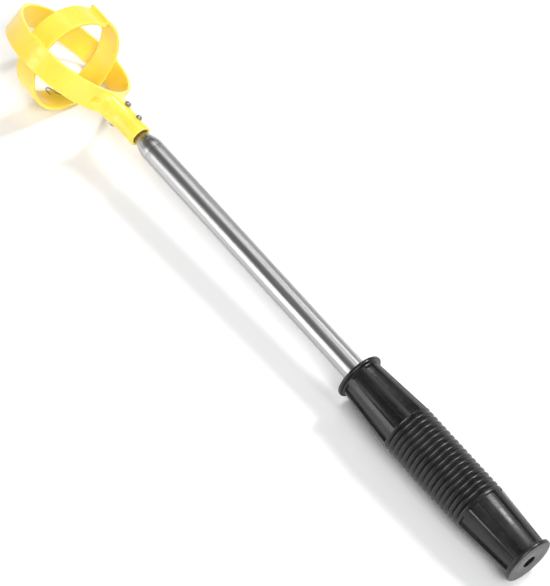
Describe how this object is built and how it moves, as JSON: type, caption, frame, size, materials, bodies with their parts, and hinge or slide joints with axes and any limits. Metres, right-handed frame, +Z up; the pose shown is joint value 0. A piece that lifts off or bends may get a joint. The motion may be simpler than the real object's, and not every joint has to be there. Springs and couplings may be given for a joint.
{
  "type": "golf ball retriever",
  "caption": "Telescopic golf ball retriever: ribbed rubber grip, nested steel tubes and a cage of crossed yellow hoops that holds a ball.",
  "frame": {"origin": "on the shaft's axis, at the middle of the closed length", "axes": "+X along the shaft from the grip's butt to the tip of the head; +Z up, with the head rolled as it lies on a floor"},
  "size_m": [0.4484, 0.07, 0.0627],
  "materials": {
    "plastic_yellow": "glossy moulded yellow plastic",
    "rubber_black": "matte moulded black rubber",
    "steel_polished": "polished stainless steel tube",
    "steel_plain": "plain drawn steel",
    "brass": "turned brass, dulled",
    "nylon_white": "natural white nylon",
    "nylon_dark": "black nylon"
  },
  "bodies": {
    "handle": {"grip": "rubber_black", "end_plug": "nylon_dark", "tube_1": "steel_polished"},
    "section_2": {"tube_2": "steel_polished", "sleeve_2": "nylon_white"},
    "section_3": {"tube_3": "steel_polished", "sleeve_3": "nylon_white"},
    "section_4": {"tube_4": "steel_polished", "sleeve_4": "nylon_white"},
    "section_5": {"tube_5": "steel_polished", "sleeve_5": "nylon_white"},
    "section_6": {"tube_6": "steel_polished", "sleeve_6": "nylon_white"},
    "head_sleeve": {"sleeve_7": "nylon_white"},
    "head": {"tube_7": "steel_polished", "nose": "steel_polished", "socket_insert": "brass", "outer_hoop": "plastic_yellow", "cross_hoop": "plastic_yellow", "keeper_pin": "steel_plain", "pin_cap_left": "steel_plain", "pin_cap_right": "steel_plain", "socket_screw": "steel_plain"},
    "keeper": {"keeper_wire": "steel_plain"}
  },
  "joints": [
    {"name": "slide_2", "type": "slide", "parent": "handle", "child": "section_2", "axis": [1, 0, 0], "range_m": [0, 0.23]},
    {"name": "slide_3", "type": "slide", "parent": "section_2", "child": "section_3", "axis": [1, 0, 0], "range_m": [0, 0.23]},
    {"name": "slide_4", "type": "slide", "parent": "section_3", "child": "section_4", "axis": [1, 0, 0], "range_m": [0, 0.23]},
    {"name": "slide_5", "type": "slide", "parent": "section_4", "child": "section_5", "axis": [1, 0, 0], "range_m": [0, 0.23]},
    {"name": "slide_6", "type": "slide", "parent": "section_5", "child": "section_6", "axis": [1, 0, 0], "range_m": [0, 0.23]},
    {"name": "slide_7", "type": "slide", "parent": "section_6", "child": "head_sleeve", "axis": [1, 0, 0], "range_m": [0, 0.23]},
    {"name": "head_turn", "type": "hinge", "parent": "head_sleeve", "child": "head", "pos_m": [0.1026, 0, 0], "axis": [1, 0, 0], "continuous": true},
    {"name": "keeper_swing", "type": "hinge", "parent": "head", "child": "keeper", "pos_m": [0.1354, 0, 0], "axis": [0, -0.6442, 0.7648], "range_deg": [0, 16], "stiffness_Nm_per_rad": 0.02}
  ]
}
